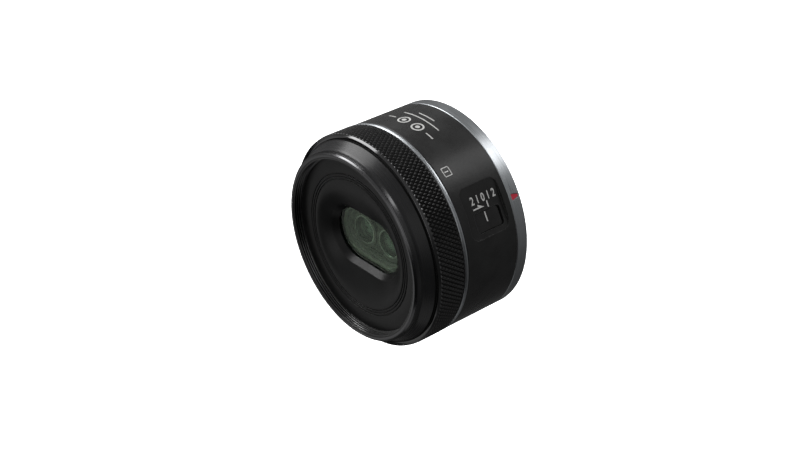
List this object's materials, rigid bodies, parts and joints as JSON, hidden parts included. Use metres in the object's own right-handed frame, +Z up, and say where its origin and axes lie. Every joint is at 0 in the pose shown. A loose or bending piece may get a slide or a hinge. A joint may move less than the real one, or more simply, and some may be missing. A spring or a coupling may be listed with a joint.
{
  "type": "prime camera lens",
  "caption": "Short barrel lens with two small optical systems behind one oval window, a knurled focus ring, a spring-return adjust switch and a bayonet mount.",
  "frame": {"origin": "centre of the mount's flange plane, on the axis of the barrel", "axes": "-Y towards the subject, +Y towards the camera body, +Z up, +X the side with the adjust switch"},
  "size_m": [0.0692, 0.047, 0.0692],
  "materials": {
    "mount_steel": "fine turned, bright chromed",
    "silver_trim": "satin, turned",
    "white_print": "white filled marks",
    "red_mark": "red filled mark",
    "barrel_black": "fine satin texture",
    "ring_black": "satin, diamond knurled",
    "front_black": "semi-matt black",
    "plate_black": "fine matt texture",
    "chassis_plastic": "moulded, glass filled",
    "window_glass": "clear, coated",
    "lens_glass": "clear, coated",
    "screw_steel": "bright",
    "blade_black": "dry black film",
    "washer_plastic": "self-lubricating",
    "board_green": "soldermask",
    "flex_amber": "polyimide film",
    "contact_gold": "gold plated",
    "motor_metal": "drawn can",
    "coil_copper": "enamelled copper",
    "comb_metal": "stamped"
  },
  "bodies": {
    "barrel": {"legend_marks": "white_print", "bayonet_mount": "mount_steel", "mount_screws": "screw_steel", "mount_collar": "silver_trim", "index_mark": "red_mark", "outer_barrel": "barrel_black", "trim_ring": "silver_trim", "slide_washer": "washer_plastic", "switch_base": "chassis_plastic", "switch_spring": "screw_steel", "chassis": "chassis_plastic", "front_ring": "front_black", "front_plate": "plate_black", "window_glass": "window_glass", "window_retainer": "chassis_plastic", "front_cell": "chassis_plastic", "front_element_right": "lens_glass", "front_element_left": "lens_glass", "second_element_right": "lens_glass", "second_element_left": "lens_glass", "front_retainers": "chassis_plastic", "iris_base": "chassis_plastic", "iris_cover": "chassis_plastic", "iris_coils": "coil_copper", "focus_motor_right": "motor_metal", "focus_motor_left": "motor_metal", "guide_rods": "screw_steel", "rear_cell": "chassis_plastic", "rear_element_right": "lens_glass", "rear_element_left": "lens_glass", "rear_baffle": "plate_black", "plate_screws": "screw_steel", "main_board": "board_green", "contact_block": "chassis_plastic", "contact_pins": "contact_gold", "flex_cable": "flex_amber", "ring_sensor": "board_green"},
    "focus_ring": {"focus_ring": "ring_black", "ring_comb": "comb_metal"},
    "adjust_slider": {"adjust_slider": "barrel_black", "slider_line": "white_print", "switch_wiper": "contact_gold"},
    "focus_right": {"focus_cell_right": "chassis_plastic", "focus_element_right": "lens_glass"},
    "lead_screw_right": {"lead_screw_right": "screw_steel"},
    "iris_ring_right": {"iris_ring_right": "blade_black"},
    "iris_blade_right_1": {"iris_blade_right_1": "blade_black"},
    "iris_blade_right_2": {"iris_blade_right_2": "blade_black"},
    "iris_blade_right_3": {"iris_blade_right_3": "blade_black"},
    "iris_blade_right_4": {"iris_blade_right_4": "blade_black"},
    "iris_blade_right_5": {"iris_blade_right_5": "blade_black"},
    "focus_left": {"focus_cell_left": "chassis_plastic", "focus_element_left": "lens_glass"},
    "lead_screw_left": {"lead_screw_left": "screw_steel"},
    "iris_ring_left": {"iris_ring_left": "blade_black"},
    "iris_blade_left_1": {"iris_blade_left_1": "blade_black"},
    "iris_blade_left_2": {"iris_blade_left_2": "blade_black"},
    "iris_blade_left_3": {"iris_blade_left_3": "blade_black"},
    "iris_blade_left_4": {"iris_blade_left_4": "blade_black"},
    "iris_blade_left_5": {"iris_blade_left_5": "blade_black"}
  },
  "joints": [
    {"name": "focus_ring_turn", "type": "hinge", "parent": "barrel", "child": "focus_ring", "pos_m": [0, -0.03, 0], "axis": [0, -1, 0], "continuous": true},
    {"name": "adjust_slide", "type": "slide", "parent": "barrel", "child": "adjust_slider", "axis": [0, 1, 0], "range_m": [0, 0.0008], "stiffness_N_per_m": 400, "springref_m": -0.0005, "deforming": ["switch_spring"]},
    {"name": "focus_slide_right", "type": "slide", "parent": "barrel", "child": "focus_right", "axis": [0, -1, 0], "range_m": [0, 0.001]},
    {"name": "lead_screw_turn_right", "type": "hinge", "parent": "barrel", "child": "lead_screw_right", "pos_m": [0.0175, -0.016, 0], "axis": [0, -1, 0], "range_deg": [0, 720]},
    {"name": "iris_turn_right", "type": "hinge", "parent": "barrel", "child": "iris_ring_right", "pos_m": [0.0059, -0.0211, 0], "axis": [0, -1, 0], "range_deg": [0, 4.9]},
    {"name": "iris_blade_right_1_swing", "type": "hinge", "parent": "barrel", "child": "iris_blade_right_1", "pos_m": [0.01015, -0.02148, 0], "axis": [0, -1, 0], "range_deg": [0, 25]},
    {"name": "iris_blade_right_2_swing", "type": "hinge", "parent": "barrel", "child": "iris_blade_right_2", "pos_m": [0.00721, -0.02157, 0.00404], "axis": [0, -1, 0], "range_deg": [0, 25]},
    {"name": "iris_blade_right_3_swing", "type": "hinge", "parent": "barrel", "child": "iris_blade_right_3", "pos_m": [0.00246, -0.02166, 0.0025], "axis": [0, -1, 0], "range_deg": [0, 25]},
    {"name": "iris_blade_right_4_swing", "type": "hinge", "parent": "barrel", "child": "iris_blade_right_4", "pos_m": [0.00246, -0.02175, -0.0025], "axis": [0, -1, 0], "range_deg": [0, 25]},
    {"name": "iris_blade_right_5_swing", "type": "hinge", "parent": "barrel", "child": "iris_blade_right_5", "pos_m": [0.00721, -0.02184, -0.00404], "axis": [0, -1, 0], "range_deg": [0, 25]},
    {"name": "focus_slide_left", "type": "slide", "parent": "barrel", "child": "focus_left", "axis": [0, -1, 0], "range_m": [0, 0.001]},
    {"name": "lead_screw_turn_left", "type": "hinge", "parent": "barrel", "child": "lead_screw_left", "pos_m": [-0.0175, -0.016, 0], "axis": [0, -1, 0], "range_deg": [0, 720]},
    {"name": "iris_turn_left", "type": "hinge", "parent": "barrel", "child": "iris_ring_left", "pos_m": [-0.0059, -0.0211, 0], "axis": [0, -1, 0], "range_deg": [0, 4.9]},
    {"name": "iris_blade_left_1_swing", "type": "hinge", "parent": "barrel", "child": "iris_blade_left_1", "pos_m": [-0.01015, -0.02148, 0], "axis": [0, -1, 0], "range_deg": [0, 25]},
    {"name": "iris_blade_left_2_swing", "type": "hinge", "parent": "barrel", "child": "iris_blade_left_2", "pos_m": [-0.00721, -0.02157, -0.00404], "axis": [0, -1, 0], "range_deg": [0, 25]},
    {"name": "iris_blade_left_3_swing", "type": "hinge", "parent": "barrel", "child": "iris_blade_left_3", "pos_m": [-0.00246, -0.02166, -0.0025], "axis": [0, -1, 0], "range_deg": [0, 25]},
    {"name": "iris_blade_left_4_swing", "type": "hinge", "parent": "barrel", "child": "iris_blade_left_4", "pos_m": [-0.00246, -0.02175, 0.0025], "axis": [0, -1, 0], "range_deg": [0, 25]},
    {"name": "iris_blade_left_5_swing", "type": "hinge", "parent": "barrel", "child": "iris_blade_left_5", "pos_m": [-0.00721, -0.02184, 0.00404], "axis": [0, -1, 0], "range_deg": [0, 25]}
  ],
  "couplings": [
    {"joint": "lead_screw_turn_right", "follows": "focus_slide_right", "rad_per_m": 12566},
    {"joint": "iris_blade_right_1_swing", "follows": "iris_turn_right", "ratio": 5.1},
    {"joint": "iris_blade_right_2_swing", "follows": "iris_turn_right", "ratio": 5.1},
    {"joint": "iris_blade_right_3_swing", "follows": "iris_turn_right", "ratio": 5.1},
    {"joint": "iris_blade_right_4_swing", "follows": "iris_turn_right", "ratio": 5.1},
    {"joint": "iris_blade_right_5_swing", "follows": "iris_turn_right", "ratio": 5.1},
    {"joint": "lead_screw_turn_left", "follows": "focus_slide_left", "rad_per_m": 12566},
    {"joint": "iris_blade_left_1_swing", "follows": "iris_turn_left", "ratio": 5.1},
    {"joint": "iris_blade_left_2_swing", "follows": "iris_turn_left", "ratio": 5.1},
    {"joint": "iris_blade_left_3_swing", "follows": "iris_turn_left", "ratio": 5.1},
    {"joint": "iris_blade_left_4_swing", "follows": "iris_turn_left", "ratio": 5.1},
    {"joint": "iris_blade_left_5_swing", "follows": "iris_turn_left", "ratio": 5.1}
  ]
}
